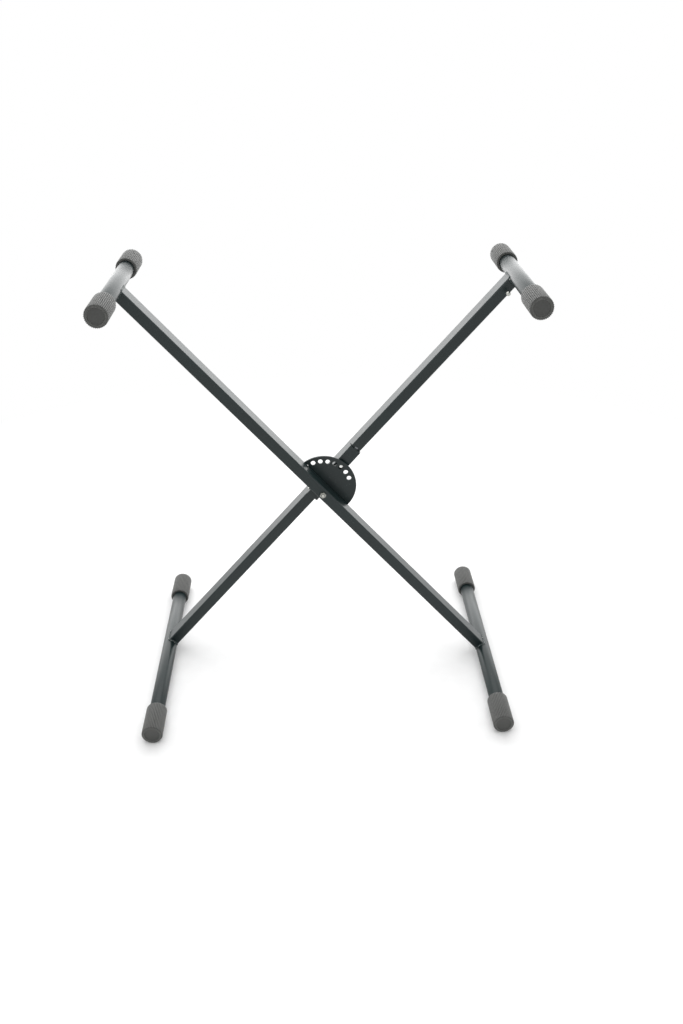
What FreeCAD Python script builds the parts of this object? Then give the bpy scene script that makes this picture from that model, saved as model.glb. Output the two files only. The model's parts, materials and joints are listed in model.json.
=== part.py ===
"""Folding keyboard stand: two crossed box-section legs that fold like scissors on one
pivot bolt, each welded to a base tube and a support tube with ribbed rubber end caps.
A pierced half-disc on the front leg and a pin on a squeeze lever lock the angle. The
lever straddles the front of the rear leg and is drawn pressed, its pin clear of the disc.

Millimetres. X runs across the player's front, Y from front to back, Z up. The origin is on
the floor, below the middle of the stand.
"""
import FreeCAD, Part
import math
import os

os.makedirs("parts", exist_ok=True)

# The crossed legs
LEG_ANGLE = 48.8            # slope above the floor at the height shown, degrees
PIVOT_TO_BASE = 486.0       # pivot axis to base tube axis, along the leg
PIVOT_TO_TOP = 511.5        # pivot axis to support tube axis, along the leg
LEG_WIDTH = 20.0            # seen from the front
LEG_DEPTH = 32.0            # from front to back
LEG_WALL = 1.5
LEG_CORNER = 2.5            # outside corner radius
CROSSING_BACK = 4.5         # middle of the gap between the legs, behind the tubes' middle

# Round tubes and their caps
TUBE_DIAMETER = 28.0
TUBE_WALL = 1.5
TOP_SPAN = 346.0            # support tube with its caps
BASE_SPAN = 512.0           # base tube with its caps
CAP_DIAMETER = 38.0         # over the ribs
CAP_LENGTH = 68.0
CAP_END_WALL = 6.0
RIB_COUNT = 40
RIB_DEPTH = 0.9
CAP_EDGE_DROP = 1.2         # how far the ribs fall away at the closed end
CAP_EDGE_LENGTH = 1.6
CAP_DISH_DIAMETER = 27.0
CAP_DISH_DEPTH = 1.2
CAP_FIT = 0.1               # gap round the tube inside a cap

# Index plate: a half-disc behind the front leg
PLATE_THICKNESS = 3.0
PLATE_MARGIN = 8.5          # hole circle to the plate's round edge
PLATE_RISE = 3.0            # disc centre above the pivot, square to the leg
PLATE_INSET = 1.0           # flat edge inside the leg's lower face
PLATE_CORNER = 3.0
HOLE_CIRCLE = 52.0          # pivot axis to the middle of each lock hole
HOLE_DIAMETER = 8.8
HOLE_PITCH = 15.0           # degrees from hole to hole
HIGHER_HOLE_COUNT = 4       # visible holes for taller settings than the one shown
LOWER_HOLE_COUNT = 2        # visible holes for lower settings
STOWED_ANGLE = 6.0          # between the folded legs, at the hidden stowing hole

# Release lever: a channel straddling the front of the rear leg
LEVER_WEB = 2.4
LEVER_WALL = 1.9
LEVER_FIT = 0.2             # each side, to the leg
LEVER_GAP = 0.5             # locked lever to index plate
LEVER_THROW = 5.6           # locked lever to the leg's front face
LEVER_GRIP = 10.0           # how far the sides reach back past the leg's front face
LEVER_BELOW = 31.0          # from the pivot down the leg
LEVER_ABOVE = 94.0          # from the pivot up the leg
LEVER_CORNER = 2.5          # outside bends
LEVER_BEND = 0.6            # inside bends
LEVER_END_ROUND = 5.0       # free corners of the sides
LEVER_EYE_DIAMETER = 17.5   # opening round the pivot washer
RIVET_BELOW = 22.0          # lever's rivet, down the leg from the pivot
RIVET_INSET = 4.5           # rivet behind the leg's front face
RIVET_DIAMETER = 5.0
RIVET_HEAD_DIAMETER = 9.0
RIVET_HEAD_HEIGHT = 1.6

# Lock pin, riveted into the lever
PIN_DIAMETER = 7.8
PIN_SHORT = 0.3             # locked tip inside the plate's front face
PIN_STANDOFF = 0.4          # released tip to the plate's back
PIN_POINT = 1.0             # bevel at the tip
PIN_HEAD_DIAMETER = 11.0
PIN_HEAD_HEIGHT = 1.5

# Leaf spring between the leg and the lever, and its rivet
SPRING_WIDTH = 6.0
SPRING_THICKNESS = 0.35
SPRING_START = 26.0         # from the pivot up the leg
SPRING_PAST_LEVER = 4.0
SPRING_RIVET_PLACE = 33.0   # from the pivot up the leg
SPRING_RIVET_DIAMETER = 3.0
SPRING_RIVET_HEAD = 4.6
SPRING_RIVET_HEIGHT = 0.8

# Pivot
SPACER_THICKNESS = 1.5      # plastic washer behind the plate
SPACER_DIAMETER = 16.0
RUNNING_GAP = 0.2           # between faces that turn against each other
PIVOT_DIAMETER = 6.0
PIVOT_CLEARANCE = 0.05      # round the bolt, in everything that turns on it
BUSH_WALL = 2.0
BUSH_FIT = 0.05
HEXAGON_WIDTH = 10.0        # nut and bolt head, across flats
BOLT_HEAD_HEIGHT = 4.0
BOLT_PAST_NUT = 1.2
BOLT_POINT = 0.6            # bevel at the bolt's end
NUT_HEIGHT = 4.6            # hexagon part
NUT_COLLAR_DIAMETER = 8.8   # round end that grips the thread
NUT_COLLAR_HEIGHT = 1.6
HEXAGON_CROWN = 30.0        # slope of the chamfer on the hexagons' corners, degrees
WASHER_DIAMETER = 18.0
WASHER_THICKNESS = 1.6

# Stud on the front of the rear leg, near its top
STUD_FROM_TOP = 30.0        # down the leg from the support tube's axis
STUD_OFFSET = 3.9           # below the leg's middle line
STUD_DIAMETER = 4.0
STUD_REACH = 17.0
STUD_HEAD_DIAMETER = 8.0
STUD_HEAD_HEIGHT = 4.5
STUD_NUT_WIDTH = 7.0
STUD_NUT_HEIGHT = 3.2

# Worked out from the sizes above
Y_AXIS = FreeCAD.Vector(0, 1, 0)
Z_AXIS = FreeCAD.Vector(0, 0, 1)
DOME_STEPS = 5
SLOPE = math.radians(LEG_ANGLE)
CAP_RADIUS = CAP_DIAMETER / 2
TUBE_RADIUS = TUBE_DIAMETER / 2
PIN_RADIUS = PIN_DIAMETER / 2
RIVET_RADIUS = RIVET_DIAMETER / 2
PIVOT_RADIUS = PIVOT_DIAMETER / 2
BUSH_BORE = PIVOT_RADIUS + PIVOT_CLEARANCE
BUSH_RADIUS = BUSH_BORE + BUSH_WALL
PIVOT_HEIGHT = CAP_RADIUS + PIVOT_TO_BASE * math.sin(SLOPE)
REST_HOLE_ANGLE = 180 - 2 * LEG_ANGLE
PLATE_RADIUS = HOLE_CIRCLE + PLATE_MARGIN
LEG_GAP = PLATE_THICKNESS + LEVER_GAP + LEVER_WEB + LEVER_THROW
FRONT_LEG_BACK = CROSSING_BACK - LEG_GAP / 2
FRONT_LEG_FRONT = FRONT_LEG_BACK - LEG_DEPTH
PLATE_BACK = FRONT_LEG_BACK + PLATE_THICKNESS
SPACER_BACK = PLATE_BACK + SPACER_THICKNESS
LEVER_FRONT = PLATE_BACK + LEVER_GAP
WEB_BACK = LEVER_FRONT + LEVER_WEB
REAR_LEG_FRONT = WEB_BACK + LEVER_THROW
REAR_LEG_BACK = REAR_LEG_FRONT + LEG_DEPTH
WASHER_FRONT = REAR_LEG_BACK + RUNNING_GAP
WASHER_BACK = WASHER_FRONT + WASHER_THICKNESS
NUT_COLLAR_BACK = FRONT_LEG_FRONT - NUT_HEIGHT
NUT_FRONT = NUT_COLLAR_BACK - NUT_COLLAR_HEIGHT
LEVER_INSIDE = LEG_WIDTH / 2 + LEVER_FIT
LEVER_OUTSIDE = LEVER_INSIDE + LEVER_WALL
RIVET_DEPTH = REAR_LEG_FRONT + RIVET_INSET
PIN_TIP = FRONT_LEG_BACK + PIN_SHORT
PIN_TRAVEL = PLATE_BACK - PIN_TIP + PIN_STANDOFF
RELEASE_ANGLE = math.degrees(math.asin(PIN_TRAVEL / (HOLE_CIRCLE + RIVET_BELOW)))
STUD_PLACE = PIVOT_TO_TOP - STUD_FROM_TOP


# ---------------------------------------------------------------- plain shapes

def cylinder(radius, front, back, x=0.0, z=0.0):
    """Round bar along Y between two depths."""
    return Part.makeCylinder(radius, back - front, FreeCAD.Vector(x, front, z), Y_AXIS)


def ring(outer, bore, front, back, x=0.0, z=0.0):
    """Round bar with a hole through it."""
    return cylinder(outer, front, back, x, z).cut(cylinder(bore, front, back, x, z))


def cross_bar(radius, x, y, half_length):
    """Round bar along Z, centred on the leg."""
    return Part.makeCylinder(radius, 2 * half_length, FreeCAD.Vector(x, y, -half_length), Z_AXIS)


def turned(profile, x=0.0, z=0.0):
    """Solid of revolution about an axis along Y; the profile is (radius, depth) pairs."""
    points = [FreeCAD.Vector(x + radius, y, z) for radius, y in profile]
    outline = Part.makePolygon(points + points[:1])
    return Part.Face(outline).revolve(FreeCAD.Vector(x, 0, z), Y_AXIS, 360)


def domed(radius, height, tip):
    """Profile points of a dome that starts on the axis at its tip."""
    turns = [math.pi / 2 * step / DOME_STEPS for step in range(DOME_STEPS + 1)]
    return [(radius * math.sin(t), tip + height * (1 - math.cos(t))) for t in turns]


def hexagon(across_flats, front, back, x=0.0, z=0.0):
    """Hexagonal bar along Y."""
    corner = across_flats / math.sqrt(3)
    turns = [math.radians(60 * step) for step in range(7)]
    points = [FreeCAD.Vector(x + corner * math.cos(t), front, z + corner * math.sin(t)) for t in turns]
    return Part.Face(Part.makePolygon(points)).extrude(Y_AXIS * (back - front))


def crowned_hexagon(across_flats, seat, crown):
    """Hexagon bar along Y on the pivot, its corners chamfered at the crown end."""
    flat = across_flats / 2
    corner = across_flats / math.sqrt(3)
    way = 1 if crown > seat else -1
    slope = way * (corner - flat) * math.tan(math.radians(HEXAGON_CROWN))
    blank = turned([(0, crown), (flat, crown), (corner, crown - slope), (corner, seat), (0, seat)])
    return hexagon(across_flats, min(seat, crown), max(seat, crown)).common(blank)


def bar(start, end, front, back, half_width, corner):
    """Bar along X with rounded long edges."""
    corner_point = FreeCAD.Vector(start, front, -half_width)
    box = Part.makeBox(end - start, back - front, 2 * half_width, corner_point)
    long_edges = [edge for edge in box.Edges if abs(edge.tangentAt(edge.FirstParameter).x) > 0.99]
    return box.makeFillet(corner, long_edges)


# ---------------------------------------------------------------- places

def on_front_leg(shape):
    """Place a shape whose X axis runs down the front leg, from the pivot."""
    turn = FreeCAD.Rotation(Y_AXIS, LEG_ANGLE)
    return shape.transformed(FreeCAD.Placement(FreeCAD.Vector(0, 0, PIVOT_HEIGHT), turn).toMatrix())


def on_rear_leg(shape):
    """Place a shape whose X axis runs up the rear leg, from the pivot."""
    turn = FreeCAD.Rotation(Y_AXIS, -LEG_ANGLE)
    return shape.transformed(FreeCAD.Placement(FreeCAD.Vector(0, 0, PIVOT_HEIGHT), turn).toMatrix())


def released(shape):
    """Place a shape of the lever, swung back on its rivet until the pin clears the plate."""
    shape.rotate(FreeCAD.Vector(-RIVET_BELOW, RIVET_DEPTH, 0), Z_AXIS, RELEASE_ANGLE)
    return on_rear_leg(shape)


def tube_axis(side, distance):
    """X and Z of a round tube's axis: side is -1 left or 1 right, distance is up from the pivot."""
    return side * abs(distance) * math.cos(SLOPE), PIVOT_HEIGHT + distance * math.sin(SLOPE)


# ---------------------------------------------------------------- legs

def leg(front, top, base):
    """Box-section leg along X, its ends shaped to sit round the tubes welded to them."""
    start = min(top, base)
    end = max(top, base)
    back = front + LEG_DEPTH
    half = LEG_WIDTH / 2
    outside = bar(start, end, front, back, half, LEG_CORNER)
    inside = bar(start, end, front + LEG_WALL, back - LEG_WALL, half - LEG_WALL, LEG_CORNER - LEG_WALL)
    shell = outside.cut(inside)
    for x in (start, end):
        shell = shell.cut(cylinder(TUBE_RADIUS, front, back, x))
    return shell


def front_leg():
    """Leg from upper left to lower right, drilled for the pivot bolt."""
    shell = leg(FRONT_LEG_FRONT, -PIVOT_TO_TOP, PIVOT_TO_BASE)
    return on_front_leg(shell.cut(cylinder(PIVOT_RADIUS, FRONT_LEG_FRONT, FRONT_LEG_BACK)))


def rear_leg():
    """Leg from lower left to upper right, drilled for the bush, the rivets and the stud."""
    shell = leg(REAR_LEG_FRONT, PIVOT_TO_TOP, -PIVOT_TO_BASE)
    wall_back = REAR_LEG_FRONT + LEG_WALL
    shell = shell.cut(cylinder(BUSH_RADIUS + BUSH_FIT, REAR_LEG_FRONT, REAR_LEG_BACK))
    shell = shell.cut(cross_bar(RIVET_RADIUS, -RIVET_BELOW, RIVET_DEPTH, LEG_WIDTH / 2))
    shell = shell.cut(cylinder(SPRING_RIVET_DIAMETER / 2, REAR_LEG_FRONT, wall_back, SPRING_RIVET_PLACE))
    stud_hole = cylinder(STUD_DIAMETER / 2, REAR_LEG_FRONT, wall_back, STUD_PLACE, -STUD_OFFSET)
    return on_rear_leg(shell.cut(stud_hole))


# ---------------------------------------------------------------- round tubes and caps

def round_tube(side, distance, span):
    """Cross tube, ending against the inside of its caps."""
    x, z = tube_axis(side, distance)
    reach = span / 2 - CAP_END_WALL
    return ring(TUBE_RADIUS, TUBE_RADIUS - TUBE_WALL, -reach, reach, x, z)


def rib_corners(radius, y, x, z):
    """Crests and roots of the ribs in turn, round the cap at one depth, a crest straight down."""
    points = []
    for step in range(2 * RIB_COUNT):
        turn = math.pi * step / RIB_COUNT - math.pi / 2
        reach = radius * (1 - (step % 2) * RIB_DEPTH / CAP_RADIUS)
        points.append(FreeCAD.Vector(x + reach * math.cos(turn), y, z + reach * math.sin(turn)))
    return points


def ribbed_bar(mouth, face, x, z):
    """Bar along Y with V-shaped ribs that fall away at its face end."""
    shoulder = face - math.copysign(CAP_EDGE_LENGTH, face)
    outlines = [
        rib_corners(CAP_RADIUS, mouth, x, z),
        rib_corners(CAP_RADIUS, shoulder, x, z),
        rib_corners(CAP_RADIUS - CAP_EDGE_DROP, face, x, z),
    ]
    sides = [outlines[0], outlines[-1]]
    for near, far in zip(outlines, outlines[1:]):
        sides += [[near[i - 1], near[i], far[i], far[i - 1]] for i in range(2 * RIB_COUNT)]
    skin = Part.Shell([Part.Face(Part.makePolygon(side + side[:1])) for side in sides])
    skin.sewShape()
    solid = Part.Solid(skin)
    solid.fix(0.001, 0.001, 0.001)
    return solid


def cap(side, distance, span, end):
    """Ribbed rubber cap; end is -1 at the front of the tube and 1 at the back."""
    x, z = tube_axis(side, distance)
    face = end * span / 2
    mouth = face - end * CAP_LENGTH
    seat = face - end * CAP_END_WALL
    dish = face - end * CAP_DISH_DEPTH
    body = ribbed_bar(mouth, face, x, z)
    body = body.cut(cylinder(TUBE_RADIUS + CAP_FIT, min(mouth, seat), max(mouth, seat), x, z))
    return body.cut(cylinder(CAP_DISH_DIAMETER / 2, min(dish, face), max(dish, face), x, z))


# ---------------------------------------------------------------- index plate

def hole_angles():
    """Angles of the lock holes from the front leg's upper half, the stowing hole first."""
    first = REST_HOLE_ANGLE - HIGHER_HOLE_COUNT * HOLE_PITCH
    count = HIGHER_HOLE_COUNT + 1 + LOWER_HOLE_COUNT
    return [STOWED_ANGLE] + [first + HOLE_PITCH * number for number in range(count)]


def index_plate():
    """Half-disc on the back of the front leg, pierced on a circle about the pivot."""
    disc = cylinder(PLATE_RADIUS, FRONT_LEG_BACK, PLATE_BACK, 0, PLATE_RISE)
    flat = PLATE_INSET - LEG_WIDTH / 2
    keep = Part.makeBox(2 * PLATE_RADIUS, PLATE_THICKNESS, PLATE_RISE + PLATE_RADIUS - flat,
                        FreeCAD.Vector(-PLATE_RADIUS, FRONT_LEG_BACK, flat))
    plate = disc.common(keep)
    corners = [edge for edge in plate.Edges
               if edge.Length < 1.01 * PLATE_THICKNESS and abs(edge.CenterOfMass.z - flat) < 0.01]
    plate = plate.makeFillet(PLATE_CORNER, corners)
    plate = plate.cut(cylinder(PIVOT_RADIUS, FRONT_LEG_BACK, PLATE_BACK))
    for angle in hole_angles():
        turn = math.radians(angle)
        x = -HOLE_CIRCLE * math.cos(turn)
        z = HOLE_CIRCLE * math.sin(turn)
        plate = plate.cut(cylinder(HOLE_DIAMETER / 2, FRONT_LEG_BACK, PLATE_BACK, x, z))
    return on_front_leg(plate)


# ---------------------------------------------------------------- pivot

def pivot_bolt():
    """Hexagon bolt from the back, its bevelled end standing out of the nut."""
    tip = NUT_FRONT - BOLT_PAST_NUT
    shank = turned([
        (0, tip),
        (PIVOT_RADIUS - BOLT_POINT, tip),
        (PIVOT_RADIUS, tip + BOLT_POINT),
        (PIVOT_RADIUS, WASHER_BACK),
        (0, WASHER_BACK),
    ])
    head = crowned_hexagon(HEXAGON_WIDTH, WASHER_BACK, WASHER_BACK + BOLT_HEAD_HEIGHT)
    return on_front_leg(shank.fuse(head))


def pivot_nut():
    """Locking nut on the front leg: a hexagon with a round collar."""
    nut = crowned_hexagon(HEXAGON_WIDTH, FRONT_LEG_FRONT, NUT_COLLAR_BACK)
    nut = nut.fuse(cylinder(NUT_COLLAR_DIAMETER / 2, NUT_FRONT, NUT_COLLAR_BACK))
    return on_front_leg(nut.cut(cylinder(PIVOT_RADIUS, NUT_FRONT, FRONT_LEG_FRONT)))


def pivot_washer():
    """Steel washer between the rear leg and the bolt's head."""
    return on_front_leg(ring(WASHER_DIAMETER / 2, PIVOT_RADIUS, WASHER_FRONT, WASHER_BACK))


def pivot_spacer():
    """Plastic washer between the index plate and the rear leg's bush."""
    return on_front_leg(ring(SPACER_DIAMETER / 2, PIVOT_RADIUS, PLATE_BACK, SPACER_BACK))


def front_bush():
    """Tube inside the front leg that takes the bolt's pull."""
    front = FRONT_LEG_FRONT + LEG_WALL
    back = FRONT_LEG_BACK - LEG_WALL
    return on_front_leg(ring(BUSH_RADIUS, PIVOT_RADIUS, front, back))


def rear_bush():
    """Tube through the rear leg, turning on the bolt and reaching forward to the spacer."""
    return on_rear_leg(ring(BUSH_RADIUS, BUSH_BORE, SPACER_BACK + RUNNING_GAP, REAR_LEG_BACK))


# ---------------------------------------------------------------- release lever

def lock_lever():
    """Pressed channel with an eye round the pivot and a seat for the pin."""
    back = REAR_LEG_FRONT + LEVER_GRIP
    outside = bar(-LEVER_BELOW, LEVER_ABOVE, LEVER_FRONT, REAR_LEG_BACK, LEVER_OUTSIDE, LEVER_CORNER)
    inside = bar(-LEVER_BELOW, LEVER_ABOVE, WEB_BACK, REAR_LEG_BACK, LEVER_INSIDE, LEVER_BEND)
    beyond = Part.makeBox(LEVER_BELOW + LEVER_ABOVE, LEG_DEPTH, 2 * LEVER_OUTSIDE,
                          FreeCAD.Vector(-LEVER_BELOW, back, -LEVER_OUTSIDE))
    channel = outside.cut(inside).cut(beyond)
    free_corners = [edge for edge in channel.Edges
                    if edge.Length < 1.01 * LEVER_WALL and abs(edge.CenterOfMass.y - back) < 0.01]
    channel = channel.makeFillet(LEVER_END_ROUND, free_corners)
    channel = channel.cut(cylinder(LEVER_EYE_DIAMETER / 2, LEVER_FRONT, WEB_BACK))
    channel = channel.cut(cylinder(PIN_RADIUS, LEVER_FRONT, WEB_BACK, HOLE_CIRCLE))
    rivet_hole = cross_bar(RIVET_RADIUS + PIVOT_CLEARANCE, -RIVET_BELOW, RIVET_DEPTH, LEVER_OUTSIDE)
    return released(channel.cut(rivet_hole))


def lever_rivet():
    """Rivet through the rear leg that the lever swings on."""
    head_start = LEVER_OUTSIDE + RUNNING_GAP
    rivet = cross_bar(RIVET_RADIUS, -RIVET_BELOW, RIVET_DEPTH, head_start)
    for base in (head_start, -head_start - RIVET_HEAD_HEIGHT):
        centre = FreeCAD.Vector(-RIVET_BELOW, RIVET_DEPTH, base)
        rivet = rivet.fuse(Part.makeCylinder(RIVET_HEAD_DIAMETER / 2, RIVET_HEAD_HEIGHT, centre, Z_AXIS))
    return on_rear_leg(rivet)


def lock_pin():
    """Pin through the lever's web, its tail hammered over behind the web."""
    profile = [
        (0, PIN_TIP),
        (PIN_RADIUS - PIN_POINT, PIN_TIP),
        (PIN_RADIUS, PIN_TIP + PIN_POINT),
        (PIN_RADIUS, WEB_BACK),
        (PIN_HEAD_DIAMETER / 2, WEB_BACK),
        (PIN_HEAD_DIAMETER / 2, WEB_BACK + PIN_HEAD_HEIGHT),
        (0, WEB_BACK + PIN_HEAD_HEIGHT),
    ]
    return released(turned(profile, HOLE_CIRCLE))


def lever_spring():
    """Leaf spring, pressed flat on the rear leg by the squeezed lever."""
    length = LEVER_ABOVE + SPRING_PAST_LEVER - SPRING_START
    corner = FreeCAD.Vector(SPRING_START, REAR_LEG_FRONT - SPRING_THICKNESS, -SPRING_WIDTH / 2)
    leaf = Part.makeBox(length, SPRING_THICKNESS, SPRING_WIDTH, corner)
    hole_radius = SPRING_RIVET_DIAMETER / 2
    hole = cylinder(hole_radius, REAR_LEG_FRONT - SPRING_THICKNESS, REAR_LEG_FRONT, SPRING_RIVET_PLACE)
    return on_rear_leg(leaf.cut(hole))


def spring_rivet():
    """Rivet that holds the leaf spring's lower end to the rear leg."""
    leaf_front = REAR_LEG_FRONT - SPRING_THICKNESS
    rivet = cylinder(SPRING_RIVET_DIAMETER / 2, leaf_front, REAR_LEG_FRONT + LEG_WALL, SPRING_RIVET_PLACE)
    head = cylinder(SPRING_RIVET_HEAD / 2, leaf_front - SPRING_RIVET_HEIGHT, leaf_front, SPRING_RIVET_PLACE)
    return on_rear_leg(rivet.fuse(head))


# ---------------------------------------------------------------- stud

def leg_stud():
    """Round-headed stud standing out of the rear leg's front face."""
    tip = REAR_LEG_FRONT - STUD_REACH
    neck = tip + STUD_HEAD_HEIGHT
    tail = REAR_LEG_FRONT + LEG_WALL + STUD_NUT_HEIGHT
    profile = domed(STUD_HEAD_DIAMETER / 2, STUD_HEAD_HEIGHT / 2, tip) + [
        (STUD_HEAD_DIAMETER / 2, neck),
        (STUD_DIAMETER / 2, neck),
        (STUD_DIAMETER / 2, tail),
        (0, tail),
    ]
    return on_rear_leg(turned(profile, STUD_PLACE, -STUD_OFFSET))


def stud_nut():
    """Nut inside the rear leg that holds the stud."""
    front = REAR_LEG_FRONT + LEG_WALL
    back = front + STUD_NUT_HEIGHT
    nut = hexagon(STUD_NUT_WIDTH, front, back, STUD_PLACE, -STUD_OFFSET)
    return on_rear_leg(nut.cut(cylinder(STUD_DIAMETER / 2, front, back, STUD_PLACE, -STUD_OFFSET)))


# ---------------------------------------------------------------- the stand

pieces = {
    "front_leg": front_leg(),
    "rear_leg": rear_leg(),
    "index_plate": index_plate(),
    "pivot_bolt": pivot_bolt(),
    "pivot_nut": pivot_nut(),
    "pivot_washer": pivot_washer(),
    "pivot_spacer": pivot_spacer(),
    "front_pivot_bush": front_bush(),
    "rear_pivot_bush": rear_bush(),
    "lock_lever": lock_lever(),
    "lever_rivet": lever_rivet(),
    "lock_pin": lock_pin(),
    "lever_spring": lever_spring(),
    "spring_rivet": spring_rivet(),
    "leg_stud": leg_stud(),
    "stud_nut": stud_nut(),
}
TUBES = (
    ("left_support", -1, PIVOT_TO_TOP, TOP_SPAN),
    ("right_support", 1, PIVOT_TO_TOP, TOP_SPAN),
    ("left_base", -1, -PIVOT_TO_BASE, BASE_SPAN),
    ("right_base", 1, -PIVOT_TO_BASE, BASE_SPAN),
)
for place, side, distance, span in TUBES:
    pieces[place + "_tube"] = round_tube(side, distance, span)
    pieces[place + "_front_cap"] = cap(side, distance, span, -1)
    pieces[place + "_back_cap"] = cap(side, distance, span, 1)

for name, shape in pieces.items():
    shape.exportStep("parts/" + name + ".step")
    print(name, len(shape.Solids), shape.isValid(), round(shape.Volume))
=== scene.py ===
"""Looks of a folding keyboard stand: black powder-coated steel, ribbed rubber caps and
zinc-plated fasteners, on a white studio floor.

Metres. X runs across the player's front, Y from front to back, Z up.
"""
import json
import math

import bmesh
import bpy
from bpy.props import FloatProperty, FloatVectorProperty, IntProperty, PointerProperty
from mathutils import Matrix, Vector


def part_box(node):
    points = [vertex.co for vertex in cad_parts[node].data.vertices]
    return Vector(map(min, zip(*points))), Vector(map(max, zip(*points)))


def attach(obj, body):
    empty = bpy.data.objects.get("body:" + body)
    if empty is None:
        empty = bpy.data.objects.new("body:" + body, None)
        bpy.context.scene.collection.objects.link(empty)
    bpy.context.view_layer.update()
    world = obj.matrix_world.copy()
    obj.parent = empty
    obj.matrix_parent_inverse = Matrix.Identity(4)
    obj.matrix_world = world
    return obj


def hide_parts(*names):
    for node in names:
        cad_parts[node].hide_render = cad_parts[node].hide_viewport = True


bl_info = {
    "name": "Folding Keyboard Stand",
    "version": (1, 0, 0),
    "blender": (4, 5, 0),
    "location": "3D View > Sidebar > Stand",
    "description": "Dresses a folding keyboard stand and sets its studio",
    "category": "Add Mesh",
}

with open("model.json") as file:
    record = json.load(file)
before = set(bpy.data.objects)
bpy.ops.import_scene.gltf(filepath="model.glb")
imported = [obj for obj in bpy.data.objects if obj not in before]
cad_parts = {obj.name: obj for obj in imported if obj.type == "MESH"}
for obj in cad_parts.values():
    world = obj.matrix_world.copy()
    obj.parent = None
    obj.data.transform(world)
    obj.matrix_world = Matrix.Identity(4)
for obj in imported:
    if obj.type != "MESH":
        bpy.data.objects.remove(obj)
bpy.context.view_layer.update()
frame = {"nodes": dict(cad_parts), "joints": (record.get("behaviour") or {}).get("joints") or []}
MM = 0.001

FRONT = "front_frame"
REAR = "rear_frame"
LEVER = "release_lever"
TUBES = {
    "left_support": FRONT,
    "right_base": FRONT,
    "right_support": REAR,
    "left_base": REAR,
}

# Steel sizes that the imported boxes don't give.
TUBE_WALL = 1.5 * MM
TUBE_BROKEN_EDGE = 0.3 * MM
TUBE_STEPS = 96
LEG_WIDTH = 20 * MM
LEG_CORNER = 2.5 * MM
BOLT_RADIUS = 3.0 * MM
NUT_LIP_RADIUS = 3.95 * MM

# Rounding of small cut edges, and of a rivet's set head.
FASTENER_EASE = 0.2 * MM
RIVET_EASE = 0.5 * MM
LEAST_EASED_ANGLE = math.radians(40)
COPLANAR_ANGLE = math.radians(0.5)

# A cap's fit on its tube, its closed end, and its corners and rim in millimetres.
CAP_FIT = 0.12 * MM
CAP_END_WALL = 6 * MM
CAP_CORNER = ((2.6, 0), (0.8, 0), (0.45, 0.1), (0.12, 0.4), (0, 0.9))    # in from the side, in from the end
CAP_RIM_BEAD = ((1.5, 0), (1.2, 0.4), (0.75, 0.6), (0.3, 0.4))           # out from the dish, proud of the end
STEPS_PER_RIB = 8
# Share of the painted groove shade that is also painted into the recessed dish of a cap's end.
DISH_SHADE = 0.32

# The paper floor, from the origin: its half side, and where it starts and ends to fade to white.
FLOOR_REACH = 2.5
FLOOR_FADE = (0.55, 1.6)
FLOOR_GAP = 0.2 * MM
WHITE = (1, 1, 1, 1)

# The photograph's camera: angles in radians, its place, its focal length in pixels of the photograph.
CAMERA_PITCH = 0.50521
CAMERA_YAW = 0.03269
CAMERA_ROLL = 0.00866
CAMERA_PLACE = (-0.016205, -1.558949, 1.191635)
FOCAL_PIXELS = 938.981
PHOTO_HEIGHT = 1024
SENSOR_MM = 36.0


# ---------------------------------------------------------------- colours and nodes

def linear(hex_colour, alpha=1.0):
    """sRGB hex to the linear colour that shaders take."""
    parts = [int(hex_colour[place:place + 2], 16) / 255 for place in (1, 3, 5)]
    return (*(part / 12.92 if part <= 0.04045 else ((part + 0.055) / 1.055) ** 2.4 for part in parts), alpha)


def add_node(tree, kind, settings=None, links=None):
    """Add a shader node, set its values and plug in its inputs."""
    node = tree.nodes.new(kind)
    for key, value in (settings or {}).items():
        if isinstance(key, int) or key in node.inputs:
            node.inputs[key].default_value = value
        else:
            setattr(node, key, value)
    for key, socket in (links or {}).items():
        tree.links.new(socket, node.inputs[key])
    return node


def new_material(name):
    """Empty node material with its output and Object coordinates."""
    material = bpy.data.materials.new(name)
    material.use_nodes = True
    tree = material.node_tree
    tree.nodes.clear()
    output = add_node(tree, "ShaderNodeOutputMaterial")
    place = add_node(tree, "ShaderNodeTexCoord").outputs["Object"]
    return material, tree, output, place


def seen_directly(tree):
    """1 for camera, glossy and transmission rays, which see a plain white studio; 0 for the rest."""
    rays = add_node(tree, "ShaderNodeLightPath").outputs
    mirrored = add_node(tree, "ShaderNodeMath", {"operation": "MAXIMUM"},
                        {0: rays["Is Glossy Ray"], 1: rays["Is Transmission Ray"]})
    either = add_node(tree, "ShaderNodeMath", {"operation": "MAXIMUM"},
                      {0: rays["Is Camera Ray"], 1: mirrored.outputs[0]})
    return either.outputs[0]


def spread(tree, value, low, high):
    """Map 0 to 1 onto a range."""
    reach = add_node(tree, "ShaderNodeMapRange", {"To Min": low, "To Max": high}, {"Value": value})
    return reach.outputs["Result"]


def blend_colours(tree, amount, first, second):
    """Mix two colours by an amount; each is a hex string, a colour property or a socket."""
    mix = add_node(tree, "ShaderNodeMix", {"data_type": "RGBA"}, {0: amount})
    for place, colour in ((6, first), (7, second)):
        if isinstance(colour, bpy.types.NodeSocket):
            tree.links.new(colour, mix.inputs[place])
        else:
            mix.inputs[place].default_value = linear(colour) if isinstance(colour, str) else colour
    return mix.outputs[2]


# ---------------------------------------------------------------- materials

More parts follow.
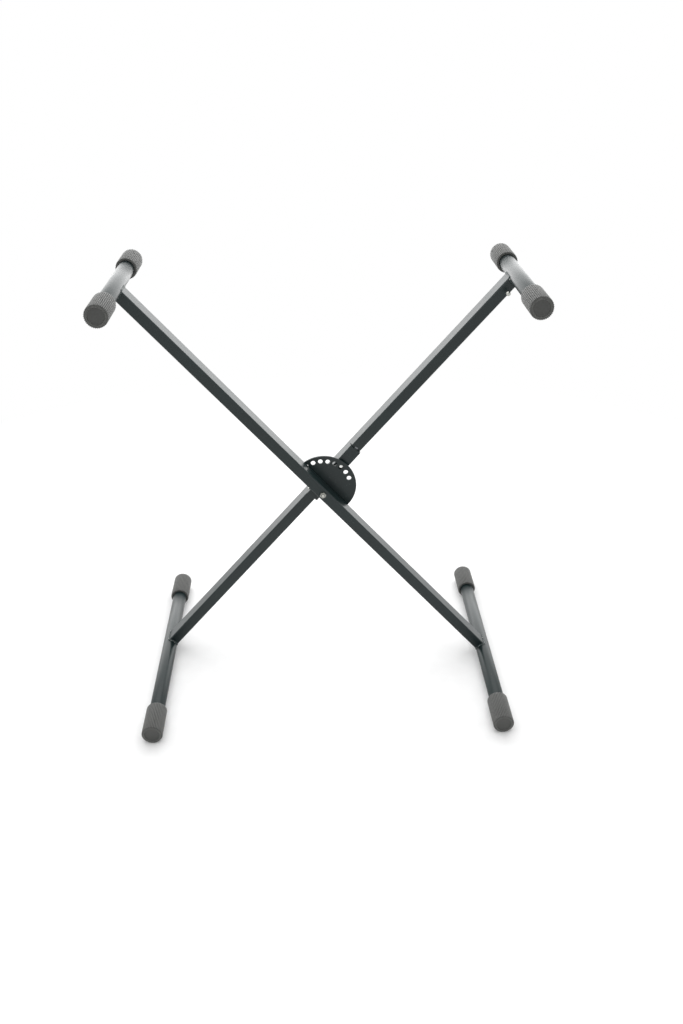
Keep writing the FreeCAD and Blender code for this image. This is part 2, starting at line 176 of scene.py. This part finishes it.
def powder_coat():
    """Black polyester powder coat, sprayed and baked on steel.

    It flows out to a half-gloss skin with faint orange peel. The real peel is about 1.5 mm
    across and is drawn at 4 mm so that it shows. Hands leave dull smears about 60 mm across,
    and a few paler specks of dust lie on it, drawn at 2.5 mm so that they show.
    """
    colours = bpy.context.scene.stand_colours
    material, tree, output, place = new_material("black_powder_coat_on_steel")
    smears = add_node(tree, "ShaderNodeTexNoise", {"Scale": 1 / (60 * MM), "Detail": 5.0, "Roughness": 0.6},
                      {"Vector": place})
    peel = add_node(tree, "ShaderNodeTexNoise", {"Scale": 1 / (4 * MM), "Detail": 2.0}, {"Vector": place})
    dust = add_node(tree, "ShaderNodeTexNoise", {"Scale": 1 / (2.5 * MM), "Detail": 1.0, "Roughness": 0.3},
                    {"Vector": place})
    specks = add_node(tree, "ShaderNodeMapRange", {"From Min": 0.72, "From Max": 0.79, "To Max": 0.16},
                      {"Value": dust.outputs["Fac"]})
    base = blend_colours(tree, smears.outputs["Fac"], colours.coat_clean, colours.coat_smeared)
    base = blend_colours(tree, specks.outputs["Result"], base, "#7d8280")
    bump = add_node(tree, "ShaderNodeBump", {"Strength": 0.35, "Distance": 0.03 * MM},
                    {"Height": peel.outputs["Fac"]})
    shader = add_node(tree, "ShaderNodeBsdfPrincipled", {"IOR": 1.5, "Specular IOR Level": 0.45}, {
        "Base Color": base,
        "Roughness": spread(tree, smears.outputs["Fac"], 0.28, 0.42),
        "Normal": bump.outputs["Normal"],
    })
    tree.links.new(shader.outputs["BSDF"], output.inputs["Surface"])
    return material


def weld_coat():
    """Powder coat over a weld bead.

    It pulls thin on the crests of the ripples, so specks of bare steel about 2 mm across
    show through and glint.
    """
    colours = bpy.context.scene.stand_colours
    material, tree, output, place = new_material("powder_coat_over_weld_bead")
    spots = add_node(tree, "ShaderNodeTexNoise", {"Scale": 1 / (2 * MM), "Detail": 1.0}, {"Vector": place})
    bare = add_node(tree, "ShaderNodeMapRange", {"From Min": 0.62, "From Max": 0.68},
                    {"Value": spots.outputs["Fac"]})
    shader = add_node(tree, "ShaderNodeBsdfPrincipled", {"IOR": 1.48}, {
        "Base Color": blend_colours(tree, bare.outputs["Result"], colours.coat_smeared, "#a3a5a1"),
        "Metallic": bare.outputs["Result"],
        "Roughness": spread(tree, spots.outputs["Fac"], 0.2, 0.4),
    })
    tree.links.new(shader.outputs["BSDF"], output.inputs["Surface"])
    return material


def cap_rubber():
    """Black EPDM rubber, moulded in a spark-eroded tool.

    It is matt with a soft sheen at a grazing view. The tool's grain is about 0.2 mm and is
    drawn at 1 mm so that it shows. Bloom and dust, in patches about 22 mm across, turn the
    rubber grey. Shade is painted into the grooves between the ribs as a darker colour, and
    into the dish of the end at about a third of that. The attribute that paints this shade is
    0 on a crest and 1 at the root of a groove.
    """
    colours = bpy.context.scene.stand_colours
    material, tree, output, place = new_material("moulded_epdm_rubber")
    bloom = add_node(tree, "ShaderNodeTexNoise", {"Scale": 1 / (22 * MM), "Detail": 6.0, "Roughness": 0.62},
                     {"Vector": place})
    grain = add_node(tree, "ShaderNodeTexNoise", {"Scale": 1 / (1 * MM), "Detail": 3.0}, {"Vector": place})
    # Painted shade: the colour darkens down in the grooves and in the dish, by the attribute from the mesh.
    painted_groove_shade = add_node(tree, "ShaderNodeAttribute", {"attribute_name": "painted_groove_shade"}).outputs["Fac"]
    base = blend_colours(tree, bloom.outputs["Fac"], colours.rubber_clean, colours.rubber_dusty)
    base = blend_colours(tree, painted_groove_shade, base, colours.rubber_painted_groove_shade)
    bump = add_node(tree, "ShaderNodeBump", {"Strength": 0.4, "Distance": 0.06 * MM},
                    {"Height": grain.outputs["Fac"]})
    shader = add_node(tree, "ShaderNodeBsdfPrincipled", {
        "IOR": 1.5,
        "Sheen Weight": 0.12,
        "Sheen Roughness": 0.5,
    }, {
        "Base Color": base,
        "Roughness": spread(tree, bloom.outputs["Fac"], 0.55, 0.75),
        "Normal": bump.outputs["Normal"],
    })
    tree.links.new(shader.outputs["BSDF"], output.inputs["Surface"])
    return material


def zinc_plate():
    """Cold-headed steel with bright zinc plate.

    It is a pale metal, with a satin bloom in spots about 3 mm across where the plate has dulled.
    """
    colours = bpy.context.scene.stand_colours
    material, tree, output, place = new_material("bright_zinc_plated_steel")
    bloom = add_node(tree, "ShaderNodeTexNoise", {"Scale": 1 / (3 * MM), "Detail": 4.0}, {"Vector": place})
    bump = add_node(tree, "ShaderNodeBump", {"Strength": 0.3, "Distance": 0.02 * MM},
                    {"Height": bloom.outputs["Fac"]})
    shader = add_node(tree, "ShaderNodeBsdfPrincipled", {"Metallic": 1.0}, {
        "Base Color": blend_colours(tree, bloom.outputs["Fac"], colours.zinc_bright, colours.zinc_dull),
        "Roughness": spread(tree, bloom.outputs["Fac"], 0.22, 0.45),
        "Normal": bump.outputs["Normal"],
    })
    tree.links.new(shader.outputs["BSDF"], output.inputs["Surface"])
    return material


def pin_steel():
    """Case-hardened pin, centreless ground and nickel plated.

    It is the brightest metal here. Grinding leaves marks finer than 0.1 mm, drawn at 0.3 mm
    so that they show.
    """
    material, tree, output, place = new_material("ground_nickel_plated_pin")
    marks = add_node(tree, "ShaderNodeTexNoise", {"Scale": 1 / (0.3 * MM), "Detail": 2.0}, {"Vector": place})
    shader = add_node(tree, "ShaderNodeBsdfPrincipled", {"Metallic": 1.0}, {
        "Base Color": blend_colours(tree, marks.outputs["Fac"], "#dcdeda", "#f3f4f1"),
        "Roughness": spread(tree, marks.outputs["Fac"], 0.14, 0.3),
    })
    tree.links.new(shader.outputs["BSDF"], output.inputs["Surface"])
    return material


def spring_steel():
    """Blued spring steel, cold rolled: a dark metal with grain about 0.4 mm across."""
    material, tree, output, place = new_material("rolled_spring_steel")
    grain = add_node(tree, "ShaderNodeTexNoise", {"Scale": 1 / (0.4 * MM), "Detail": 2.0}, {"Vector": place})
    shader = add_node(tree, "ShaderNodeBsdfPrincipled", {"Metallic": 1.0}, {
        "Base Color": blend_colours(tree, grain.outputs["Fac"], "#4d4f53", "#8f9194"),
        "Roughness": spread(tree, grain.outputs["Fac"], 0.18, 0.35),
    })
    tree.links.new(shader.outputs["BSDF"], output.inputs["Surface"])
    return material


def moulded_nylon():
    """Black nylon, moulded: a waxy half-gloss with faint flow marks 2 mm across."""
    material, tree, output, place = new_material("moulded_black_nylon")
    flow = add_node(tree, "ShaderNodeTexNoise", {"Scale": 1 / (2 * MM), "Detail": 3.0}, {"Vector": place})
    shader = add_node(tree, "ShaderNodeBsdfPrincipled", {"IOR": 1.53}, {
        "Base Color": blend_colours(tree, flow.outputs["Fac"], "#1c1c1d", "#2b2b2c"),
        "Roughness": spread(tree, flow.outputs["Fac"], 0.35, 0.5),
    })
    tree.links.new(shader.outputs["BSDF"], output.inputs["Surface"])
    return material


def studio_floor():
    """Seamless white paper sweep, matt, with fibres clouded about 25 mm across.

    Seen directly it fades to plain white away from the stand, and near the stand it keeps
    the stand's shadow.
    """
    material, tree, output, place = new_material("white_paper_sweep")
    reach = add_node(tree, "ShaderNodeVectorMath", {"operation": "LENGTH"}, {0: place}).outputs["Value"]
    start, end = FLOOR_FADE
    fade = add_node(tree, "ShaderNodeMapRange",
                    {"From Min": start, "From Max": end, "To Min": 0.07, "To Max": 1.0}, {"Value": reach})
    fibres = add_node(tree, "ShaderNodeTexNoise", {"Scale": 1 / (25 * MM), "Detail": 4.0}, {"Vector": place})
    paper = add_node(tree, "ShaderNodeBsdfDiffuse", {},
                     {"Color": blend_colours(tree, fibres.outputs["Fac"], "#efefef", "#f6f6f6")})
    white = add_node(tree, "ShaderNodeEmission", {"Color": WHITE, "Strength": 1.0})
    faded = add_node(tree, "ShaderNodeMixShader", {},
                     {0: fade.outputs["Result"], 1: paper.outputs[0], 2: white.outputs[0]})
    choose = add_node(tree, "ShaderNodeMixShader", {},
                      {0: seen_directly(tree), 1: paper.outputs[0], 2: faded.outputs[0]})
    tree.links.new(choose.outputs[0], output.inputs["Surface"])
    return material


MATERIALS = {}
MAKERS = {
    "coat": powder_coat,
    "weld": weld_coat,
    "rubber": cap_rubber,
    "zinc": zinc_plate,
    "pin": pin_steel,
    "spring": spring_steel,
    "nylon": moulded_nylon,
    "paper": studio_floor,
}


def finish(name):
    """The material of that name, made once."""
    if name not in MATERIALS:
        MATERIALS[name] = MAKERS[name]()
    return MATERIALS[name]


# ---------------------------------------------------------------- making pieces

def centre(node):
    """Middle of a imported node's box."""
    low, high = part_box(node)
    return (low + high) / 2


def slope():
    """Angle of the legs above the floor."""
    reach = centre("right_support_tube") - centre("left_base_tube")
    return math.atan2(reach.z, reach.x)


def pivot():
    """Point on the legs' pivot axis."""
    return Vector(frame["joints"][0]["pos_m"])


def on_leg(turn):
    """Place of a leg: its X axis runs along the leg, Y to the back, Z square to both."""
    return Matrix.Translation(pivot()) @ Matrix.Rotation(turn, 4, "Y")


def place_piece(name, mesh, body, look, replaces=(), sharp=35.0):
    """Link a mesh as a finished piece that rides on a body."""
    mesh.shade_smooth()
    mesh.set_sharp_from_angle(angle=math.radians(sharp))
    piece = bpy.data.objects.new(name, mesh)
    bpy.context.scene.collection.objects.link(piece)
    mesh.materials.clear()
    mesh.materials.append(finish(look))
    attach(piece, body)
    if replaces:
        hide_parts(*replaces)
    return piece


def to_mesh(bm, name):
    """Close a bmesh into a mesh, its faces pointing outwards."""
    bmesh.ops.remove_doubles(bm, verts=bm.verts, dist=1e-6)
    bmesh.ops.recalc_face_normals(bm, faces=bm.faces)
    mesh = bpy.data.meshes.new(name)
    bm.to_mesh(mesh)
    bm.free()
    return mesh


def eased_copy(node, name, body, look, width):
    """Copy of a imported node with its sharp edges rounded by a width, as deburred steel is.

    A width of 0 leaves the edges as they are.
    """
    bm = bmesh.new()
    bm.from_mesh(frame["nodes"][node].data)
    bmesh.ops.remove_doubles(bm, verts=bm.verts, dist=1e-5)
    bmesh.ops.dissolve_limit(bm, angle_limit=COPLANAR_ANGLE, verts=bm.verts, edges=bm.edges)
    if width > 0:
        edges = [edge for edge in bm.edges
                 if len(edge.link_faces) == 2 and edge.calc_face_angle(0) > LEAST_EASED_ANGLE]
        bmesh.ops.bevel(bm, geom=edges, offset=width, offset_type="OFFSET", segments=2, profile=0.5,
                        affect="EDGES", clamp_overlap=True, material=-1)
    mesh = bpy.data.meshes.new(name)
    bm.to_mesh(mesh)
    bm.free()
    piece = place_piece(name, mesh, body, look, (node,))
    even = piece.modifiers.new("flat_faces_stay_flat", "WEIGHTED_NORMAL")
    even.mode = "FACE_AREA"
    even.weight = 100
    even.keep_sharp = True
    return piece


def spin_profile(profile, steps):
    """Lathe a profile of (radius, depth) pairs round the Y axis."""
    bm = bmesh.new()
    points = [bm.verts.new((radius, depth, 0)) for radius, depth in profile]
    edges = [bm.edges.new(pair) for pair in zip(points, points[1:])]
    bmesh.ops.spin(bm, geom=points + edges, cent=(0, 0, 0), axis=(0, 1, 0), dvec=(0, 0, 0),
                   angle=2 * math.pi, steps=steps, use_merge=True, use_duplicate=False)
    return bm


# ---------------------------------------------------------------- sizes and colours

def size(label, about, default, least=0.0):
    """A length that the panel shows."""
    return FloatProperty(name=label, description=about, default=default, min=least, unit="LENGTH")


def colour(label, about, hex_colour):
    """A colour that the panel shows, given as sRGB hex."""
    return FloatVectorProperty(name=label, description=about, default=linear(hex_colour), subtype="COLOR",
                               size=4, min=0.0, max=1.0)


class StandSizes(bpy.types.PropertyGroup):
    """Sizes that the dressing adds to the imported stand."""
    rib_count: IntProperty(name="Ribs", description="Ribs round each cap", default=40, min=12, max=80)
    rib_depth: size("Rib depth", "Crest to root of a rib", 1.3 * MM)
    cap_rim: size("Cap rim", "Rim round the dished end of a cap", 5.4 * MM, 0.001)
    dish_depth: size("Dish", "Depth of the dish in a cap's end", 1.3 * MM)
    edge_ease: size("Eased edges", "Rounding of cut steel edges", 0.45 * MM)
    bead_width: size("Weld bead", "Width of the weld beads", 4.6 * MM, 0.001)
    bead_ripple: size("Weld ripple", "Spacing of the ripples along a bead", 2.6 * MM, 0.001)


class StandColours(bpy.types.PropertyGroup):
    """Colours of the finishes."""
    coat_clean: colour("Coat, clean", "Powder coat where it is cleanest", "#0a1416")
    coat_smeared: colour("Coat, smeared", "Powder coat where hands have smeared it", "#182a2a")
    rubber_clean: colour("Rubber, clean", "Rubber of the caps", "#4c4d4b")
    rubber_dusty: colour("Rubber, dusty", "Rubber under bloom and dust", "#656663")
    # Painted shade: the darker colour put down between the ribs, where shade falls.
    rubber_painted_groove_shade: colour("Rubber, grooves", "Rubber down between the ribs", "#1f2020")
    zinc_bright: colour("Zinc, bright", "Zinc plate where it still shines", "#cbccc6")
    zinc_dull: colour("Zinc, dull", "Zinc plate where it has dulled", "#989993")


# ---------------------------------------------------------------- the pieces

class STAND_OT_caps(bpy.types.Operator):
    """Model the ribbed rubber cap on each end of the four round tubes"""
    bl_idname = "stand.caps"
    bl_label = "Rubber caps"

    def execute(self, context):
        sizes = context.scene.stand_sizes
        for tube, body in TUBES.items():
            tube_low, tube_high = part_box(tube + "_tube")
            bore = (tube_high.z - tube_low.z) / 2 + CAP_FIT
            for end, sign in (("front", -1), ("back", 1)):
                self.cap(sizes, f"{tube}_{end}_cap", bore, body, sign)
        return {"FINISHED"}

    def cap(self, sizes, node, bore, body, sign):
        """One cap, lathed with its mouth at depth 0, fluted, then turned to its end of the tube."""
        low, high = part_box(node)
        middle = (low + high) / 2
        radius = (high.z - low.z) / 2
        length = high.y - low.y
        bm = spin_profile(self.section(sizes, radius, length, bore), sizes.rib_count * STEPS_PER_RIB)
        self.flute(sizes, bm, radius, length)
        if sign < 0:
            bmesh.ops.rotate(bm, verts=bm.verts, cent=(0, 0, 0), matrix=Matrix.Rotation(math.pi, 3, "Z"))
        mouth = high.y if sign < 0 else low.y
        bmesh.ops.translate(bm, verts=bm.verts, vec=(middle.x, mouth, middle.z))
        place_piece(node + "_moulding", to_mesh(bm, node), body, "rubber", (node,), 50.0)

    def section(self, sizes, radius, length, bore):
        """Half section of a cap, from the middle of its bore's floor round to the middle of its end."""
        floor = length - CAP_END_WALL
        dish = radius - sizes.cap_rim
        bottom = length - sizes.dish_depth
        bored = [(0, floor), (bore, floor), (bore, 1.0 * MM)]
        bored += [(bore + 0.3 * MM, 0.3 * MM), (bore + 0.7 * MM, 0)]
        mouth = [(radius - inset * MM, depth * MM) for inset, depth in CAP_CORNER]
        end = [(radius - inset * MM, length - depth * MM) for inset, depth in reversed(CAP_CORNER)]
        bead = [(dish + out * MM, length + proud * MM) for out, proud in CAP_RIM_BEAD]
        dished = [(dish, length - 0.5 * MM), (dish - 0.2 * MM, bottom + 0.2 * MM)]
        dished += [(dish - 0.6 * MM, bottom), (0, bottom)]
        return bored + mouth + [(radius, length / 2)] + end + bead + dished

    def flute(self, sizes, bm, radius, length):
        """Sink the grooves between the ribs, and keep how deep each point lies in the attribute that paints
        shade into them.
        """
        painted_groove_shade = bm.verts.layers.float.new("painted_groove_shade")
        dish_edge = radius - sizes.cap_rim + 0.1 * MM
        ribbed = radius - 0.9 * MM
        for vert in bm.verts:
            reach = math.hypot(vert.co.x, vert.co.z)
            # Painted shade: the recessed dish of the end is darkened by that share.
            vert[painted_groove_shade] = DISH_SHADE if reach < dish_edge and vert.co.y > length / 2 else 0.0
            if reach > ribbed:
                turn = math.atan2(vert.co.x, -vert.co.z)
                root = (1 - abs(math.cos(sizes.rib_count * turn / 2))) ** 0.8
                # Painted shade: the deeper a point lies in a groove, the darker its colour.
                vert[painted_groove_shade] = root
                shrink = 1 - sizes.rib_depth * root / reach
                vert.co.x *= shrink
                vert.co.z *= shrink


class STAND_OT_steelwork(bpy.types.Operator):
    """Finish the legs, the round tubes, the index plate and the lever in powder coat"""
    bl_idname = "stand.steelwork"
    bl_label = "Coated steelwork"

    def execute(self, context):
        ease = context.scene.stand_sizes.edge_ease
        eased_copy("front_leg", "front_leg_box_tube", FRONT, "coat", 0)
        eased_copy("rear_leg", "rear_leg_box_tube", REAR, "coat", 0)
        for tube, body in TUBES.items():
            self.round_tube(tube + "_tube", body)
        eased_copy("index_plate", "index_plate_pressing", FRONT, "coat", ease)
        eased_copy("lock_lever", "lock_lever_pressing", LEVER, "coat", ease)
        return {"FINISHED"}

    def round_tube(self, node, body):
        """Drawn round tube with a slightly broken edge at each end."""
        low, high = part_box(node)
        outer = (high.z - low.z) / 2
        inner = outer - TUBE_WALL
        half = (high.y - low.y) / 2
        shoulder = half - TUBE_BROKEN_EDGE
        profile = [(inner, -shoulder), (inner + TUBE_BROKEN_EDGE, -half), (outer - TUBE_BROKEN_EDGE, -half)]
        profile += [(outer, -shoulder), (outer, 0), (outer, shoulder)]
        profile += [(outer - TUBE_BROKEN_EDGE, half), (inner + TUBE_BROKEN_EDGE, half)]
        profile += [(inner, shoulder), (inner, -shoulder)]
        bm = spin_profile(profile, TUBE_STEPS)
        bmesh.ops.translate(bm, verts=bm.verts, vec=(low + high) / 2)
        place_piece(node + "_drawn", to_mesh(bm, node), body, "coat", (node,), 50.0)


class STAND_OT_welds(bpy.types.Operator):
    """Run a weld bead round each leg where it sits on a round tube"""
    bl_idname = "stand.welds"
    bl_label = "Weld beads"

    def execute(self, context):
        sizes = context.scene.stand_sizes
        lean = slope()
        self.bead(sizes, "left_support", "front_leg", FRONT, lean, -1)
        self.bead(sizes, "right_base", "front_leg", FRONT, lean, 1)
        self.bead(sizes, "right_support", "rear_leg", REAR, -lean, 1)
        self.bead(sizes, "left_base", "rear_leg", REAR, -lean, -1)
        return {"FINISHED"}

    def bead(self, sizes, tube, leg, body, turn, way):
        """One bead: a closed rounded loop on the leg's outline, dropped onto the tube."""
        low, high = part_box(tube + "_tube")
        radius = (high.z - low.z) / 2
        leg_low, leg_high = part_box(leg)
        middle = (leg_high.y + leg_low.y) / 2
        distance = centre(tube + "_tube") - pivot()
        reach = math.hypot(distance.x, distance.z)
        loop = rounded_loop(leg_high.y - leg_low.y, LEG_WIDTH, LEG_CORNER, 0.6 * MM)
        curve = bpy.data.curves.new(tube + "_bead", "CURVE")
        curve.dimensions = "3D"
        # A bevel of 1 m, so that the radius of a point is the bead's own.
        curve.bevel_depth = 1.0
        curve.bevel_resolution = 3
        spline = curve.splines.new("POLY")
        spline.points.add(len(loop) - 1)
        spline.use_cyclic_u = True
        place = on_leg(turn)
        for point, (y, z, along) in zip(spline.points, loop):
            x = way * (reach - math.sqrt(radius * radius - z * z))
            spot = place @ Vector((x, y, z))
            spot.y += middle
            point.co = (*spot, 1)
            # Ripples along the bead, and two slow swells as a hand leaves them.
            ripple = abs(math.sin(math.pi * along / sizes.bead_ripple))
            swell = 0.08 * math.sin(along / (7.3 * MM)) + 0.05 * math.sin(along / (3.1 * MM))
            point.radius = sizes.bead_width / 2 * (0.72 + 0.2 * ripple + swell)
        carrier = bpy.data.objects.new(tube + "_bead", curve)
        bpy.context.scene.collection.objects.link(carrier)
        bpy.context.view_layer.update()
        shaped = carrier.evaluated_get(bpy.context.evaluated_depsgraph_get())
        mesh = bpy.data.meshes.new_from_object(shaped)
        bpy.data.objects.remove(carrier)
        place_piece(tube + "_weld", mesh, body, "weld", (), 60.0)


def rounded_loop(depth, width, corner, step):
    """Points (y, z, distance along) round a rounded rectangle, a small step apart."""
    y, z = depth / 2 - corner, width / 2 - corner
    corners = [(y, -z), (y, z), (-y, z), (-y, -z)]
    arc = corner * math.pi / 2
    points, along = [], 0.0
    for side, turn in enumerate((0, 90, 180, 270)):
        start, end = corners[side], corners[(side + 1) % 4]
        out = Vector((math.cos(math.radians(turn)), math.sin(math.radians(turn)))) * corner
        first, last = Vector(start) + out, Vector(end) + out
        length = (last - first).length
        count = max(1, round(length / step))
        for number in range(count):
            spot = first.lerp(last, number / count)
            points.append((spot.x, spot.y, along + length * number / count))
        along += length
        count = max(2, round(arc / step))
        for number in range(count):
            angle = math.radians(turn + 90 * number / count)
            points.append((end[0] + corner * math.cos(angle), end[1] + corner * math.sin(angle),
                           along + arc * number / count))
        along += arc
    return points


class STAND_OT_fasteners(bpy.types.Operator):
    """Finish the pivot, the lock pin, the rivets, the leaf spring and the stud"""
    bl_idname = "stand.fasteners"
    bl_label = "Fasteners"

    def execute(self, context):
        eased_copy("pivot_bolt", "pivot_bolt_plated", FRONT, "zinc", FASTENER_EASE)
        eased_copy("pivot_nut", "pivot_nut_plated", FRONT, "zinc", FASTENER_EASE)
        eased_copy("pivot_washer", "pivot_washer_plated", FRONT, "zinc", FASTENER_EASE)
        eased_copy("pivot_spacer", "pivot_spacer_moulding", FRONT, "nylon", FASTENER_EASE)
        eased_copy("front_pivot_bush", "front_pivot_bush_cut", FRONT, "zinc", 0)
        eased_copy("rear_pivot_bush", "rear_pivot_bush_cut", REAR, "zinc", FASTENER_EASE)
        eased_copy("lever_rivet", "lever_rivet_headed", REAR, "zinc", RIVET_EASE)
        eased_copy("lever_spring", "lever_spring_leaf", REAR, "spring", 0)
        eased_copy("spring_rivet", "spring_rivet_headed", REAR, "zinc", FASTENER_EASE)
        eased_copy("lock_pin", "lock_pin_turned", LEVER, "pin", FASTENER_EASE)
        eased_copy("leg_stud", "leg_stud_turned", REAR, "zinc", FASTENER_EASE)
        eased_copy("stud_nut", "stud_nut_plated", REAR, "zinc", FASTENER_EASE)
        return {"FINISHED"}


class STAND_OT_nut_insert(bpy.types.Operator):
    """Press the nylon locking ring into the mouth of the pivot nut"""
    bl_idname = "stand.nut_insert"
    bl_label = "Nut's locking ring"

    def execute(self, context):
        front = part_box("pivot_nut")[0].y
        inner, outer = BOLT_RADIUS + 0.02 * MM, NUT_LIP_RADIUS
        sunk, flush, crown = front + 0.5 * MM, front - 0.02 * MM, front - 0.14 * MM
        profile = [(inner, sunk), (inner, flush), (BOLT_RADIUS + 0.3 * MM, crown)]
        profile += [(outer - 0.3 * MM, crown), (outer, flush), (outer, sunk), (inner, sunk)]
        bm = spin_profile(profile, 48)
        middle = pivot()
        bmesh.ops.translate(bm, verts=bm.verts, vec=(middle.x, 0, middle.z))
        place_piece("pivot_nut_locking_ring", to_mesh(bm, "pivot_nut_locking_ring"), FRONT, "nylon")
        return {"FINISHED"}


class STAND_OT_stage(bpy.types.Operator):
    """Lay the paper floor, hang the lights and stand the camera where the photograph was taken"""
    bl_idname = "stand.stage"
    bl_label = "Studio"

    def execute(self, context):
        self.floor(context)
        self.world(context)
        self.lamp(context, "overhead_softbox", spot=(0.0, 0.0, 2.7), target=(0.0, 0.0, 0.0),
                  width=3.0, height=3.0, power=42.0)
        self.lamp(context, "back_wall", spot=(0.0, 2.6, 1.55), target=(0.0, 0.0, 1.55),
                  width=8.0, height=3.1, power=150.0)
        self.lamp(context, "front_fill", spot=(-0.8, -3.2, 1.9), target=(0.0, 0.0, 0.4),
                  width=1.6, height=1.2, power=8.0)
        self.camera(context)
        context.scene.view_settings.view_transform = "Standard"
        return {"FINISHED"}

    def floor(self, context):
        """Wide sheet of paper under the stand."""
        bm = bmesh.new()
        bmesh.ops.create_grid(bm, x_segments=4, y_segments=4, size=FLOOR_REACH)
        bmesh.ops.translate(bm, verts=bm.verts, vec=(0, 0, -FLOOR_GAP))
        mesh = bpy.data.meshes.new("paper_floor")
        bm.to_mesh(mesh)
        bm.free()
        floor = bpy.data.objects.new("paper_floor", mesh)
        context.scene.collection.objects.link(floor)
        mesh.materials.append(finish("paper"))

    def world(self, context):
        """Plain white to look at or in a mirror; as light, bright behind the stand and dim in front."""
        world = bpy.data.worlds.new("white_studio")
        context.scene.world = world
        world.use_nodes = True
        tree = world.node_tree
        tree.nodes.clear()
        way = add_node(tree, "ShaderNodeTexCoord").outputs["Generated"]
        parts = add_node(tree, "ShaderNodeSeparateXYZ", {}, {0: way})
        behind = add_node(tree, "ShaderNodeMapRange",
                          {"From Min": -0.5, "From Max": 0.3, "To Min": 0.22, "To Max": 0.95},
                          {"Value": parts.outputs["Y"]})
        level = add_node(tree, "ShaderNodeMath", {"operation": "MAXIMUM"},
                         {0: behind.outputs["Result"], 1: seen_directly(tree)})
        sky = add_node(tree, "ShaderNodeBackground", {"Color": WHITE}, {"Strength": level.outputs[0]})
        output = add_node(tree, "ShaderNodeOutputWorld")
        tree.links.new(sky.outputs[0], output.inputs["Surface"])

    def lamp(self, context, name, spot, target, width, height, power):
        """Soft rectangular light aimed at a point."""
        light = bpy.data.lights.new(name, "AREA")
        light.shape = "RECTANGLE"
        light.size = width
        light.size_y = height
        light.energy = power
        lamp = bpy.data.objects.new(name, light)
        lamp.location = spot
        lamp.rotation_euler = (Vector(target) - Vector(spot)).to_track_quat("-Z", "Y").to_euler()
        context.scene.collection.objects.link(lamp)

    def camera(self, context):
        """Camera matched to the photograph: 29 degrees down, 33 mm on a 36 mm long side."""
        level = Vector((math.sin(CAMERA_YAW), math.cos(CAMERA_YAW), 0)) * math.cos(CAMERA_PITCH)
        forward = level - Vector((0, 0, math.sin(CAMERA_PITCH)))
        right = Vector((math.cos(CAMERA_YAW), -math.sin(CAMERA_YAW), 0))
        down = forward.cross(right)
        across = right * math.cos(CAMERA_ROLL) + down * math.sin(CAMERA_ROLL)
        below = down * math.cos(CAMERA_ROLL) - right * math.sin(CAMERA_ROLL)
        data = bpy.data.cameras.new("photo_camera")
        data.sensor_fit = "AUTO"
        data.sensor_width = SENSOR_MM
        data.lens = FOCAL_PIXELS / PHOTO_HEIGHT * SENSOR_MM
        data.clip_end = 100.0
        camera = bpy.data.objects.new("photo_camera", data)
        turn = Matrix((across, -below, -forward)).transposed().to_4x4()
        camera.matrix_world = Matrix.Translation(CAMERA_PLACE) @ turn
        context.scene.collection.objects.link(camera)
        context.scene.camera = camera


# ---------------------------------------------------------------- panel and registration

class STAND_PT_pieces(bpy.types.Panel):
    """Sizes, colours and steps of the keyboard stand"""
    bl_idname = "STAND_PT_pieces"
    bl_label = "Keyboard stand"
    bl_space_type = "VIEW_3D"
    bl_region_type = "UI"
    bl_category = "Stand"

    def draw(self, context):
        layout = self.layout
        for group in (context.scene.stand_sizes, context.scene.stand_colours):
            for key in group.__annotations__:
                layout.prop(group, key)
        for step in STEPS:
            layout.operator(step.bl_idname)


STEPS = (STAND_OT_steelwork, STAND_OT_welds, STAND_OT_caps, STAND_OT_fasteners, STAND_OT_nut_insert,
         STAND_OT_stage)
CLASSES = (StandSizes, StandColours, *STEPS, STAND_PT_pieces)


def register():
    for kind in CLASSES:
        bpy.utils.register_class(kind)
    bpy.types.Scene.stand_sizes = PointerProperty(type=StandSizes)
    bpy.types.Scene.stand_colours = PointerProperty(type=StandColours)


def unregister():
    del bpy.types.Scene.stand_colours
    del bpy.types.Scene.stand_sizes
    for kind in reversed(CLASSES):
        bpy.utils.unregister_class(kind)


def main():
    register()
    bpy.ops.stand.steelwork()
    bpy.ops.stand.welds()
    bpy.ops.stand.caps()
    bpy.ops.stand.fasteners()
    bpy.ops.stand.nut_insert()
    bpy.ops.stand.stage()


if __name__ == "__main__":
    main()
